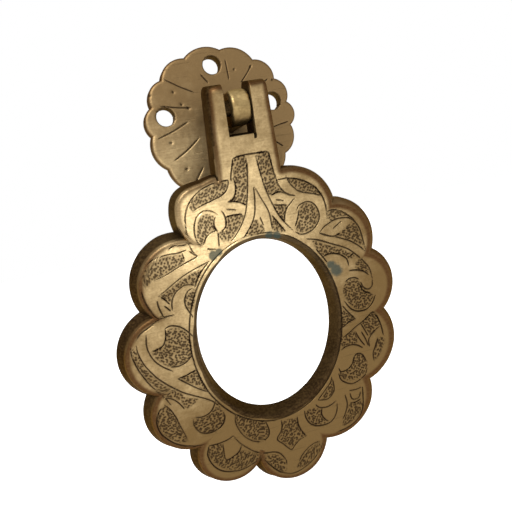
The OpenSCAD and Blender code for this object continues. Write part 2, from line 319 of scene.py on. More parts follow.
# patches matted with a small punch, each a closed outline
knockerMatting = [
    (-4.8, -15.1, -0.7, -14.8, -1, -20, -1.8, -25.5, -2.9, -30, -4.8, -28.8, -8, -28, -5.8, -25.5, -5.4,
     -21), (2.9, -14.8, 6.9, -14.9, 7.6, -21, 8.7, -25.8, 9.8, -27.8, 5.3, -28.3, 4.1, -24),
    (-10, -21.5, -7.8, -21.6, -8.8, -24.5, -11, -25.8, -17, -27.4, -20, -28.6, -20.8, -26.5, -18.5, -24.3,
     -15, -22.5),
    (-13.8, -31.5, -15.5, -30.5, -17.3, -30.6, -19, -32.5, -20, -36, -19.6, -38.8, -18.6, -39.8, -17.2,
     -37.6, -15.3, -36.4, -13.7, -36, -14.2, -33.8),
    (-10, -32.6, -4.5, -32.8, -5, -35, -7, -37.5, -9.5, -40, -11.5, -40.3, -13, -38.7, -12.8, -37, -10.6,
     -35.8),
    (-0.5, -35.3, 1, -37, 2, -38.5, 1.5, -40, -4.5, -40, -3, -38),
    (5.3, -35.4, 7.5, -38.4, 9.3, -41, 7.5, -41.3, 5, -39.8),
    (12.3, -24.2, 16, -25.4, 20, -27.6, 22.3, -30, 23.2, -31.8, 20, -30.4, 16.5, -29, 14, -27.2, 12.7,
     -25.4),
    (6.5, -32.2, 10.8, -33, 9.6, -35.3, 9, -38, 7.5, -35.5),
    (14.9, -34.6, 16.8, -33.4, 19, -33.8, 20.8, -36, 21.2, -38.3, 20.4, -40.4, 18.5, -42.3, 15.5, -43, 12.8,
     -41.3, 14, -38, 15, -35.6),
    (24.9, -37.8, 27.5, -37.8, 30, -39.2, 31.5, -40.4, 28.5, -40.2, 25.2, -41),
    (27, -46, 29.5, -44.8, 32, -43.5, 33.5, -43, 35, -45.5, 35.9, -49, 36.3, -51.8, 34, -50.5, 31, -48.8,
     28.5, -47),
    (18, -46.5, 22, -48.5, 26, -50.2, 30, -52.6, 32.8, -55, 30.3, -55.5, 27.5, -53.5, 24, -52.2, 21, -52),
    (33, -57.5, 35, -56.8, 37, -59.8, 37.6, -62, 35.5, -61.3, 33, -60.3),
    (28.5, -64, 30.5, -63, 33, -64, 34.3, -66.5, 36.5, -69, 38.3, -70.5, 38, -72.5, 36, -74.3, 33, -74.8,
     30.5, -73.5, 28.5, -71, 27.3, -68, 27.2, -66),
    (25.8, -72.8, 27.2, -74.3, 30, -77.8, 25.5, -79.6, 25.2, -76),
    (33, -80, 36, -78, 38, -77, 39.5, -79.5, 40, -81.5, 39.5, -83, 36, -85, 35, -84, 33.8, -82),
    (24, -84.3, 26, -83.6, 29, -82.3, 30.2, -83, 30.4, -87, 27, -87, 24.8, -87.6),
    (38.5, -88, 41, -87.3, 41.3, -89, 40, -92, 38.5, -94.5, 37, -95.5, 36.5, -93.5, 37.5, -90.5),
    (28, -94, 29, -92, 31, -91.5, 33, -94, 33.5, -97, 32, -99.5, 28.5, -101, 25, -100.5, 22.5, -98.5, 22.5,
     -96.7, 25.5, -96.5),
    (18.8, -99.5, 19.2, -103, 17.5, -104.8, 14.5, -104.8, 16.5, -102.2),
    (8, -108, 10, -107.3, 13.5, -108.8, 13.6, -111.5, 14.8, -114, 14, -115, 11.3, -114.4, 9, -112.6, 8,
     -110),
    (24.5, -110.5, 29.5, -110.2, 30, -113, 27.5, -116, 24, -117.8, 21.3, -118, 22, -115.5, 23.8, -113),
    (-1.5, -109, 4, -109.5, 4.3, -113, 6.2, -116.8, 3.5, -118, 0.5, -120, -1.5, -117.8, -3.6, -115.5, -1.9,
     -112.5),
    (-17.3, -101.5, -15, -102.3, -12, -104.5, -8, -106.7, -7.2, -109, -7, -112, -9, -113.4, -11.5, -113,
     -14, -111.2, -16, -108, -17.4, -104.5),
    (-28.5, -110.5, -24, -110.3, -23.8, -116.8, -20, -116, -17.5, -115.2, -15, -116.5, -12, -118.7, -10.5,
     -120, -14, -121, -18, -122.2, -22, -121.5, -26, -118.5, -28.5, -114.5),
    (-9.6, -121, -7, -120.5, -4.5, -121.8, -2.8, -124, -2.3, -127.5, -3.5, -129, -6, -126.8, -8.5, -123.5),
    (3.5, -126.5, 5.5, -124.2, 8, -122.7, 11.5, -122, 11, -124.5, 8.5, -127, 5.5, -129, 3, -129.3, 1.5,
     -128.5),
    (-42.5, -92, -40, -90.5, -38.5, -93, -37.5, -96, -36.5, -100, -35.5, -103.5, -35.8, -105.5, -38.5,
     -104.5, -41, -102, -43, -98.5, -43.5, -95),
    (-31.5, -98.5, -27.5, -98.5, -25.5, -97.5, -24, -96, -22, -97.5, -21.5, -100, -22, -102.5, -24, -104.3,
     -28, -104.5, -30.5, -103, -31.8, -100.5),
    (-33, -82.4, -28, -81, -27, -84, -25.8, -88.8, -28.5, -86.8, -31, -84.5),
    (-34.5, -89, -31.5, -90.3, -29, -91.3, -31.5, -93, -33.5, -93.3),
    (-46.3, -68, -45.2, -70, -44.2, -74.5, -42.3, -78.5, -40, -82, -37, -85.3, -33.5, -88.5, -34.5, -90,
     -36.5, -88.5, -39, -87.5, -41.3, -84, -44, -79.5, -46, -74.5, -46.8, -71),
    (-35, -65, -32, -64.8, -29.5, -66.5, -28.2, -69, -28.2, -74.5, -30, -76.8, -33.5, -77.5, -36.5, -77,
     -39, -74.5, -40.8, -71, -38.5, -70, -36.3, -69.5, -35.5, -67),
    (-39.3, -47.5, -38.5, -44.7, -36, -42.5, -32, -41.3, -27, -41.3, -25.8, -42, -25.2, -43.8, -29, -45.4,
     -33, -46.8, -36.5, -47.6, -37.5, -49.3, -38.8, -49),
    (-34.8, -53.5, -31, -51.5, -27, -49.5, -23, -48, -20.5, -47.6, -21, -49.5, -23, -51.8, -26, -51.2,
     -28.6, -52.2, -31, -54, -32, -56, -33, -55),
    (-24.5, -53.8, -23.8, -53.5, -24, -56, -25, -59.3, -26.6, -59.5, -27.3, -57.5, -26.8, -55.3),
]

# engraved lines on the back plate's front, x, z from its centre
plateLines = [
    (-17, 17, -12.5, 14, -8, 11.5), (-20, 8.5, -15, 7.3, -10, 6.5), (-23, -2, -17.5, -0.3, -12, 2),
    (-19, -10, -14, -7.3, -9.5, -4),
    (-4.5, 17, -2.5, 14), (5, 21, 5, 17.5, 5, 14), (14, 18, 11.5, 15, 9, 12.5), (19, 12.5, 16, 11),
    (17, -4.4, 20, -3.8, 23.5, -3.2), (16.5, -8.5, 20, -11.5), (11, -14, 14, -18), (-10, -14, -13.5, -18.5),
    (3.5, -16, 4.5, -21), (-4, -16, -5, -21),
]
platePits = [(-11, 6.5), (7.5, 17.3), (13.5, 17.5), (20.5, 12), (-23, 12.5), (-15, 12.5), (-13, 8),
             (-19, -4), (-15.5, -13.5)]

ringCentre = np.array(knocker["ringCentre"], float)


def ovalRadius(a, width, height):
    return 1 / np.sqrt((2 * np.sin(a) / width) ** 2 + (2 * np.cos(a) / height) ** 2)


def lobeCircles(points, rises):
    # each lobe is an arc over two neighbouring notches: radius (c * c / 4 + s * s) / (2 s), centre inside
    # the chord
    a, b = points[:-1], points[1:]
    d = b - a
    c = np.hypot(d[:, 0], d[:, 1])
    n = np.stack([-d[:, 1], d[:, 0]], 1) / c[:, None]
    radius = (c * c / 4 + rises ** 2) / (2 * rises)
    return (a + b) / 2 + n * (rises - radius)[:, None], radius


def notchAt(centreA, radiusA, centreB, radiusB, outward):
    # where two circles cross, taking the crossing further along the outward direction
    d = centreB - centreA
    length = np.hypot(*d)
    t = (length ** 2 + radiusA ** 2 - radiusB ** 2) / (2 * length)
    h = math.sqrt(max(radiusA ** 2 - t ** 2, 0))
    n = np.array([-d[1], d[0]]) / length
    p = centreA + d / length * t
    return max((p + n * h, p - n * h), key=lambda q: float(q @ outward))


angle, outside = np.radians([n[0] for n in knocker["notches"]]), np.array([n[1]
        for n in knocker["notches"]], float)
reach = ovalRadius(angle, *knocker["notchOval"]) + outside
ringNotches = ringCentre + np.stack([reach * np.sin(angle), reach * np.cos(angle)], 1)
lobeCentre, lobeRadius = lobeCircles(ringNotches, np.array(knocker["lobeRise"], float))
lobes = len(lobeRadius)
neckHalf = knocker["neckRoot"] / 2


def neckCorner(lobe, grow, side):
    # where the lobe's circle, grown by this much, meets the neck's side
    r = lobeRadius[lobe] + grow
    x = side * neckHalf
    return np.array([x, lobeCentre[lobe][1] + math.sqrt(max(r ** 2 - (x - lobeCentre[lobe][0]) ** 2, 0))])


squareShoulder = (-25.1, -33.5, -25.3, -29, -24.4, -25, -21.6, -22.3, -17, -20.9, -13, -20.4)


def squareOff(turn):
    # how far this curve, the upper left lobe's squarer shoulder, stands off the lobe's arc at each angle
    # round the arc's centre
    curve = smoothCurve(tuple(ringNotches[-2]) + squareShoulder + tuple(ringNotches[-1]),
                        steps=12) - lobeCentre[-1]
    angle = np.unwrap(np.arctan2(curve[:, 0], curve[:, 1]))
    angle += 2 * np.pi * np.round((turn.mean() - angle.mean()) / (2 * np.pi))
    along = np.arange(len(turn)) / len(turn)
    return np.interp(turn, angle, np.hypot(curve[:, 0], curve[:, 1])
                     - lobeRadius[-1]) * np.clip(np.minimum(along, 1 - along) / 0.2, 0, 1)


def outlineRow(grow, counts):
    # the outline grown by this much: an arc for each lobe between its two notches, then the straight seam
    # under the neck
    ends = [neckCorner(0, grow, 1)]
    for i in range(lobes - 1):
        ends.append(notchAt(lobeCentre[i], lobeRadius[i] + grow, lobeCentre[i + 1],
                            lobeRadius[i + 1] + grow,
                            ringNotches[i + 1] - ringCentre))
    ends.append(neckCorner(lobes - 1, grow, -1))
    parts = []
    for i in range(lobes):
        a, b = ends[i] - lobeCentre[i], ends[i + 1] - lobeCentre[i]
        t0, t1 = math.atan2(a[0], a[1]), math.atan2(b[0], b[1])
        t1 += 2 * math.pi * (t1 < t0)
        t = t0 + (t1 - t0) * np.arange(counts[i]) / counts[i]
        radius = lobeRadius[i] + grow + (squareOff(t) if i == lobes - 1 else 0 * t)
        parts.append(lobeCentre[i] + radius[:, None] * np.stack([np.sin(t), np.cos(t)], 1))
    left, right = neckCorner(lobes - 1, min(grow, 0), -1), neckCorner(0, min(grow, 0), 1)
    left[1] = right[1] = knocker["seamZ"] + min(grow, 0)
    t = (np.arange(counts[lobes]) / counts[lobes])[:, None]
    parts.append(left + (right - left) * t)
    return np.vstack(parts)


def roundDrop(d, radius):
    # how far a quarter-round edge has dropped at distance d inside it
    s = np.clip(radius - d, 0, radius)
    return radius - np.sqrt(np.maximum(radius ** 2 - s ** 2, 0))


borderOval = (-1.3, -73.8, 27.0, 33.8)               # the line round the hole: centre x, z and half axes
t = np.radians(np.arange(0, 361, 6))
borderLine = np.stack([borderOval[0] + borderOval[2] * np.sin(t),
                       borderOval[1] + borderOval[3] * np.cos(t)], 1).ravel()
grooveWidth, grooveDepth, punchDepth = 0.25, 0.3, 0.16


def chased(points):
    # the front's chasing: how deep it is cut in mm, and the masks for its lines, matted patches and punch
    # marks
    gap = engraving(points, knockerLines + [borderLine], grooveWidth)
    matted = mattedAreas(points, knockerMatting, 0.5)
    punch = punchMarks(points, 0.85, 32, 3)
    depth = grooveDepth * np.exp(-gap ** 2) - 0.07 * np.exp(-((gap - 1.9) / 0.6) ** 2) + matted * (0.06
            + punchDepth * np.exp(-(punch / 0.27) ** 2))
    depth += 0.035 * noise(points, 3.1, 5) + 0.02 * noise(points, 0.9, 8)
    kerf = (np.abs(points[:, 0] - knocker["kerf"][0] - 0.35) < 0.36) & (points[:,
            1] > knocker["kerf"][1]) & (points[:, 1] < -8.2)
    depth = np.where(kerf, 2.5, depth)
    gap = np.where(kerf, 0, gap)
    return depth, gap, matted, punch


def plainMasks(n, side):
    # the material's masks for a piece with no engraving, no matting and no worn edges
    return {"lineGap": np.full(n, 3.0), "matted": np.zeros(n), "punch": np.full(n, 3.0),
            "edgeGap": np.full(n, 5.0), "side": side}


def makePiece(name, points, quads, place, body, node, masks, sharpDeg=42, triangles=None):
    # puts a closed surface into a mesh in metres, turns it outward by the sign of its volume, and hangs it
    # on its body
    p = place(points)
    faces = [quads] if triangles is None else [quads, triangles]
    volume = 0
    for f in faces:
        for k in range(1, f.shape[1] - 1):
            volume += np.einsum("ij,ij->", p[f[:, 0]], np.cross(p[f[:, k]], p[f[:, k + 1]]))
    if volume < 0:
        faces = [f[:, ::-1] for f in faces]
    mesh = bpy.data.meshes.new(name)
    mesh.from_pydata(p.tolist(), [], sum([f.tolist() for f in faces], []))
    for mask, values in masks.items():
        mesh.attributes.new(mask, "FLOAT", "POINT").data.foreach_set("value",
                np.asarray(values, np.float32))
    mesh.validate()
    mesh.shade_smooth()
    mesh.set_sharp_from_angle(angle=math.radians(sharpDeg))
    piece = bpy.data.objects.new(name, mesh)
    bpy.context.scene.collection.objects.link(piece)
    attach(piece, body)
    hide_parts(node)
    print(name, len(mesh.polygons), "faces")
    return piece


def buildRing():
    # rows run once round the ring's section: front face, rounded edge, flared wall, back, hole wall;
    # columns run round the ring
    k = knocker
    edge, front, back, flare = k["edgeRound"], k["frontY"], k["ringBackY"], k["flare"]
    chord = np.hypot(*(ringNotches[1:] - ringNotches[:-1]).T)
    counts = [max(8, round(float(c) * 1.12 / k["cell"]))
              for c in chord] + [round(k["neckRoot"] / k["cell"])]
    columns = sum(counts)
    seam = np.arange(columns) >= columns - counts[-1]
    seam[0] = True
    innerStart = outlineRow(-2.5, counts)
    rows, depths, fronts, insets = [], [], [], []

    # at the hole the columns turn evenly from one notch's angle to the next, so that none of them cross
    firsts = np.concatenate([[0], np.cumsum(counts)])
    rel = innerStart[firsts[:-1]] - ringCentre
    turn = np.unwrap(np.arctan2(rel[:, 0], rel[:, 1]))
    a = np.interp(np.arange(columns), firsts, np.append(turn, turn[0] + 2 * np.pi))

    def oval(half, grow):
        return ringCentre + (ovalRadius(a, 2 * half[0], 2 * half[1]) + grow)[:,
                None] * np.stack([np.sin(a), np.cos(a)], 1)

    def add(p, y, isFront, inset=99):
        rows.append(p)
        insets.append(inset)
        depths.append(np.broadcast_to(y, (columns,)).astype(float))
        fronts.append(isFront)

    # the right and upper lobes have a broad rounded edge, the left and lower ones a tight edge and a plain
    # wall
    base, full = outlineRow(0, counts), outlineRow(flare, counts)
    side = (base - ringCentre) / np.linalg.norm(base - ringCentre, axis=1)[:, None]
    broad = np.clip(0.12 + 1.3 * side[:, 0], 0, 1)
    fromNeck = np.minimum(np.hypot(base[:, 0] - neckHalf, base[:, 1] - k["seamZ"]),
                          np.hypot(base[:, 0] + neckHalf, base[:, 1] - k["seamZ"]))
    spread = ((0.1 + 0.9 * np.clip((fromNeck - 4) / 20, 0, 1)) * (1 - 0.2 * np.clip(side[:, 0], 0, 1)))[:,
            None]

    def broadDrop(g):
        return 2.8 * (1 - np.sqrt(1 - np.clip((g + 1.3) / (flare + 1.35), 0, 1) ** 2))

    rim = oval(k["holeFront"], 0.45)
    for f in np.linspace(0, 1, 59):
        add(rim + (innerStart - rim) * f, front, True, 2.5 + 20 * (1 - f))
    for g in (-2.1, -1.75, -1.4, -1.1, -0.8, -0.5, -0.25, -0.08, 0):
        add(outlineRow(g, counts), front, True, -g)
    for s in (0.15, 0.35, 0.55, 0.75, 0.9, 1):
        y = front + edge + (back - 0.5 - front - edge) * s
        yBroad = front + broadDrop(flare * s)
        add(base + (full - base) * s * spread, np.where(seam, y + 4 * s, y + (yBroad - y) * broad), False)
    add(base + (full - base) * 0.97 * spread, np.where(seam, 4.9, back - 0.15), False)
    add(base + (full - base) * 0.8 * spread, np.where(seam, 5, back), False)
    backEdge, backRim = outlineRow(-2, counts), oval(k["holeBack"], 0.5)
    for f in np.linspace(0, 1, 16):
        add(backEdge + (backRim - backEdge) * f, back, False)
    add(oval(k["holeBack"], 0.14), back - 0.14, False)
    for s in (0.08, 0.35, 0.65, 0.93):
        h = [b + (f - b) * s for b, f in zip(k["holeBack"], k["holeFront"])]
        add(oval(h, 0), back + (front - back) * s, False)
    add(oval(k["holeFront"], 0.13), front + 0.13, False)

    xz = np.vstack(rows)
    y = np.concatenate(depths)
    isFront = np.repeat(fronts, columns)
    # distance to the outer edge, with the neck's two corners, for the rounding
    overLobe = np.tile(np.arange(columns) < columns - counts[-1], len(rows))
    corner = np.minimum(np.hypot(xz[:, 0] - neckHalf, xz[:, 1] - k["seamZ"]),
                        np.hypot(xz[:, 0] + neckHalf, xz[:, 1] - k["seamZ"]))
    toEdge = np.where(overLobe, np.repeat(np.array(insets, float), columns), 99)
    toEdge = np.where(corner < 3, np.minimum(toEdge, corner), toEdge)
    wobble = 1 + 0.22 * noise(xz, 7, 11)
    tight, wide = roundDrop(toEdge / wobble, edge), broadDrop(-toEdge / wobble)
    wide = np.where(corner < 3, tight, wide)
    y = np.where(isFront, front + tight + (wide - tight) * np.tile(broad, len(rows)), y)
    depth, gap, matted, punch = np.zeros(len(y)), np.full(len(y), 3.0), np.zeros(len(y)), np.full(len(y),
            3.0)
    f = np.nonzero(isFront)[0]
    d, g, m, q = chased(xz[f])
    fade = np.clip(toEdge[f] / 1.2, 0, 1)
    depth[f], gap[f], matted[f], punch[f] = d * fade, g + 3 * (1 - fade), m, q
    y = y + depth
    # the neck's back slopes down onto the ring's back
    wedge = np.clip((xz[:, 1] - k["slopeEnd"]) / 2, 0,
                    4) * np.clip((neckHalf + 0.15 - np.abs(xz[:, 0])) / 0.3, 0, 1)
    y = np.where((y > back - 0.3) & ~isFront & (np.abs(xz[:, 0]) < neckHalf + 0.2),
                 np.maximum(y, np.minimum(back + wedge, 5)), y)
    y = np.where(isFront, y, y + 0.07 * noise(np.column_stack([xz, y]), 4.5, 21) * (y < back + 3.9)
                 * (np.abs(y - back) > 0.01))
    soft = np.tile(broad, len(rows))
    outerWall = np.repeat((np.arange(len(rows)) >= 68) & (np.arange(len(rows)) <= 73), columns)
    # painted shade in the side mask: full on the hole's wall, 0.8 on the back, and on the outer wall less
    # where its edge is broad
    walls = np.where(isFront, 0.0, np.where(np.abs(y - back) < 0.3, 0.8,
                                            np.where(outerWall, 1 - soft, 1.0)))
    # painted shade: the first front rows at the hole's rim get it at full, a thin dark line round the hole
    walls = np.where(np.repeat(np.arange(len(rows)) <= 2, columns), 1.0, walls)
    toEdge = np.where(outerWall, 0, toEdge)
    points = np.column_stack([xz[:, 0], y, xz[:, 1]])
    quads = gridFaces(len(rows), columns, True, True)
    masks = {"lineGap": gap, "matted": matted, "punch": punch, "edgeGap": np.minimum(toEdge, 5),
             "side": walls}
    return makePiece("knocker_ring", points, quads, hang, "knocker", "knocker", masks)


def roundedLoop(xa, xb, ya, yb, radii, nx, ny):
    # a rectangle with four rounded corners as one closed loop of fixed count: side by side, each corner in
    # 6 steps
    fl, fr, br, bl = radii
    arc = np.radians(np.linspace(0, 90, 7))
    s, c = np.sin(arc), np.cos(arc)
    parts = [np.column_stack([np.linspace(xa + fl, xb - fr, nx), np.full(nx, ya)])[:-1],
             np.column_stack([xb - fr + fr * s, ya + fr - fr * c])[:-1],
             np.column_stack([np.full(ny, xb), np.linspace(ya + fr, yb - br, ny)])[:-1],
             np.column_stack([xb - br + br * c, yb - br + br * s])[:-1],
             np.column_stack([np.linspace(xb - br, xa + bl, nx), np.full(nx, yb)])[:-1],
             np.column_stack([xa + bl - bl * s, yb - bl + bl * c])[:-1],
             np.column_stack([np.full(ny, xa), np.linspace(yb - bl, ya + fl, ny)])[:-1],
             np.column_stack([xa + fl - fl * c, ya + fl - fl * s])[:-1]]
    return np.vstack(parts)


def block(loops, heights):
    # loops stacked by height, closed at both ends by shrinking the last loop to its middle
    rows = []
    for loop, z in zip(loops, heights):
        rows.append(np.column_stack([loop, np.full(len(loop), z)]))
    for end in (0, -1):
        middle = rows[end].mean(0)
        caps = [middle + (rows[end] - middle) * s for s in (0.75, 0.5, 0.25, 0.001)]
        rows = caps[::-1] + rows if end == 0 else rows + caps
    return rows


def buildNeck():
    # three blocks of rounded section: the neck below the slot, and an arm at each side of it
    k = knocker
    slotLeft, slotRight, slotFloor = k["slot"]
    width = lambda z: k["neckTop"] + (k["neckRoot"] - k["neckTop"]) * (k["forkTop"] - z) / (k["forkTop"]
            - k["seamZ"])
    points, faces, start = [], [], 0

    def stack(zs, left, right, leftInner, rightInner, nx, rounded):
        nonlocal start
        loops = []
        for z in zs:
            up = max(0.0, z - (k["forkTop"] - 2.5)) if rounded else 0.0
            pull = 2.5 - math.sqrt(max(2.5 ** 2 - up ** 2, 0))
            xa = -width(z) / 2 if left is None else left
            xb = width(z) / 2 if right is None else right
            grow = min(1, max(0, (z - k["seamZ"]) / 12)) ** 1.5
            fl = 0.35 if leftInner else k["edgeRound"] + 2.5 * grow
            fr = 0.35 if rightInner else k["edgeRound"]
            trim = 0.3 * pull
            loops.append(roundedLoop(xa + (0 if leftInner else trim), xb - (0 if rightInner else trim),
                                     -5 + pull, 5 - pull,
                                     (fl, fr, 0.35 if rightInner else 1.0, 0.35 if leftInner else 1.0), nx,
                                     22))
        rows = block(loops, zs)
        n = len(rows[0])
        points.append(np.vstack(rows))
        faces.append(gridFaces(len(rows), n, False, True, start))
        start += n * len(rows)

    low = np.linspace(k["seamZ"], slotFloor, 42)
    tall = np.concatenate([np.linspace(slotFloor, k["forkTop"] - 2.5, 40),
                           k["forkTop"] - 2.5 + 2.5 * np.sin(np.radians(np.arange(11, 89, 11)))])
    stack(low, None, None, False, False, 66, False)
    stack(tall, None, slotLeft, False, True, 17, True)
    stack(tall, slotRight, None, True, False, 19, True)
    p = np.vstack(points)
    front = p[:, 1] < -3.4
    xz = p[:, [0, 2]]
    depth, gap, matted, punch = chased(xz)
    p[:, 1] += np.where(front, depth, 0)
    sideways = 0.05 * noise(p, 4, 31) + 0.03 * noise(p, 1.4, 32)
    p[:, 0] += np.where(front | (np.abs(p[:, 1]) > 4.9), 0, sideways)
    gap, punch, matted = np.where(front, gap, 3), np.where(front, punch, 3), np.where(front, matted, 0)
    w = width(xz[:, 1]) / 2
    edgeGap = np.clip(np.minimum(w - np.abs(xz[:, 0]), k["forkTop"] - xz[:, 1]), 0, 5)
    # the side mask paints shade on every face off the front: the sides, the slot and the fork's top
    masks = {"lineGap": gap, "matted": matted, "punch": punch, "edgeGap": edgeGap,
             "side": np.where(front, 0.0, 1.0)}
    return makePiece("knocker_neck", p, np.vstack(faces), hang, "knocker", "knocker", masks)

backPlate = {
    "notchDiameter": 50, "thickness": 5, "petalRise": 2.2, "edgeRound": 1.3,
    "screwCircle": 39.4, "screwHole": 6.2, "holeAngles": (0, 180, -76, 76), "chamfer": 0.3,
    "notches": (-120, -92, -70, -47, -21, 9, 37, 60, 81, 100, 124, 151, 180, 210),
    "rivetHead": 4.55, "rivetDepth": 1.5, "rivetAt": (0.5, 1.5),
}


def buildPlate():
    # a disc on a polar grid, its rim an arc over each petal, front and back alike; the grid is cut and
    # snapped to each hole
    k = backPlate
    a = np.radians(k["notches"] + (k["notches"][0] + 360,))
    ends = np.stack([np.sin(a), np.cos(a)], 1) * k["notchDiameter"] / 2
    centre, radius = lobeCircles(ends, np.full(len(ends) - 1, float(k["petalRise"])))
    parts, petal = [], []
    for i in range(len(radius)):
        p, q = ends[i] - centre[i], ends[i + 1] - centre[i]
        t0, t1 = math.atan2(p[0], p[1]), math.atan2(q[0], q[1])
        t1 += 2 * math.pi * (t1 < t0)
        n = round((a[i + 1] - a[i]) * 27 / 0.36)
        t = t0 + (t1 - t0) * np.arange(n) / n
        parts.append(centre[i] + radius[i] * np.stack([np.sin(t), np.cos(t)], 1))
        petal += [i] * n
    rim, petal = np.vstack(parts), np.array(petal)
    columns = len(rim)
    share = np.concatenate([[0.0], np.linspace(0.02, 0.93, 62),
                            1 - np.array([0.052, 0.036, 0.022, 0.011, 0.003, 0])])
    share[0] = 0.0005
    xz = (rim[None] * share[:, None, None]).reshape(-1, 2)
    petalOf = np.tile(petal, len(share))
    outer = np.repeat(share > 0.9, columns)
    toRim = np.where(outer, np.maximum(radius[petalOf] - np.hypot(*(xz - centre[petalOf]).T), 0), 9)
    holes = [np.array([math.sin(math.radians(h)), math.cos(math.radians(h))]) * k["screwCircle"] / 2
             for h in k["holeAngles"]]
    hole = k["screwHole"] / 2
    keep = np.ones(len(xz), bool)
    toHole = np.full(len(xz), 9.0)
    for h in holes:
        rel = xz - h
        d = np.hypot(*rel.T)
        snap = np.abs(d - hole) < 0.26
        xz = np.where(snap[:, None], h + rel / d[:, None] * hole, xz)
        keep &= snap | (d > hole)
        toHole = np.minimum(toHole, np.maximum(np.where(snap, 0, d - hole), 0))
    n = len(xz)
    quads = gridFaces(len(share), columns, False, True)
    quads = quads[keep[quads].all(1)]
    wobble = 1 + 0.2 * noise(xz, 5, 41)
    gap = engraving(xz, plateLines, 0.26)
    pit = np.min([np.hypot(*(xz - c).T) for c in np.array(platePits, float)], axis=0)
    y = -k["thickness"] + roundDrop(toRim / wobble,
                                    k["edgeRound"]) + 0.2 * np.exp(-gap ** 2) + 0.35 * np.exp(-(pit
                                            / 0.5) ** 2)
    y += np.clip(k["chamfer"] - toHole, 0, 1) * 0.9 + 0.05 * noise(xz, 5, 42) + 0.02 * noise(xz, 1.1, 43)
    back = np.zeros(n) - roundDrop(toRim, 0.5)
    rivet = np.hypot(xz[:, 0] - k["rivetAt"][0], xz[:, 1] - k["rivetAt"][1])
    back -= np.clip(k["rivetHead"] - rivet, 0, k["rivetDepth"])
    points = np.vstack([np.column_stack([xz[:, 0], y, xz[:, 1]]),
                        np.column_stack([xz[:, 0], back, xz[:, 1]])])
    # walls: an edge used by one face only is an edge of the rim or of a hole, and is joined to its twin on
    # the back
    edges = np.vstack([quads[:, [i, (i + 1) % 4]] for i in range(4)])
    key = np.sort(edges, 1) @ np.array([n, 1])
    _, first, count = np.unique(key, return_index=True, return_counts=True)
    loose = edges[first[count == 1]]
    poleRing = (loose < columns).all(1)
    pole, wall = loose[poleRing], loose[~poleRing]
    walls = np.column_stack([wall[:, 1], wall[:, 0], wall[:, 0] + n, wall[:, 1] + n])
    points = np.vstack([points, points[:columns].mean(0), points[n:n + columns].mean(0)])
    fans = np.vstack([np.column_stack([pole[:, 1], pole[:, 0], np.full(len(pole), 2 * n)]),
                      np.column_stack([pole[:, 0] + n, pole[:, 1] + n, np.full(len(pole), 2 * n + 1)])])
    allQuads = np.vstack([quads, quads[:, ::-1] + n, walls])
    used, inverse = np.unique(np.concatenate([allQuads.ravel(), fans.ravel()]), return_inverse=True)
    cut = allQuads.size
    two = lambda front, rear: np.concatenate([front, np.full(n, rear), [front[0], rear]])[used]
    # the side mask paints shade: full on the rim's and holes' edges and walls, 0.85 on the back, and up to
    # 0.75 round the centre, where the fork and lug throw their shadow
    masks = {"lineGap": two(np.minimum(gap, 1.5 * pit + 0.3), 3.0), "matted": two(np.zeros(n), 0.0),
             "punch": two(np.full(n, 3.0), 3.0),
             "edgeGap": two(np.minimum(0.9 + toRim * 1.6, 5), 5.0),
             "side": two(np.where((toRim < 0.01) | (toHole < 0.01), 1.0,
                                  np.clip((10 - np.hypot(*xz.T)) / 6, 0, 0.75)), 0.85)}
    return makePiece("back_plate_cast", points[used], inverse[:cut].reshape(-1, 4), upright, "plate",
                     "back_plate",
                     masks, 42, inverse[cut:].reshape(-1, 3))


hingeLug = {"diameter": 11, "width": 6.2, "shift": 0.5, "edgeRound": 1.1, "out": 25, "up": 1.5,
            "foot": -5.0}


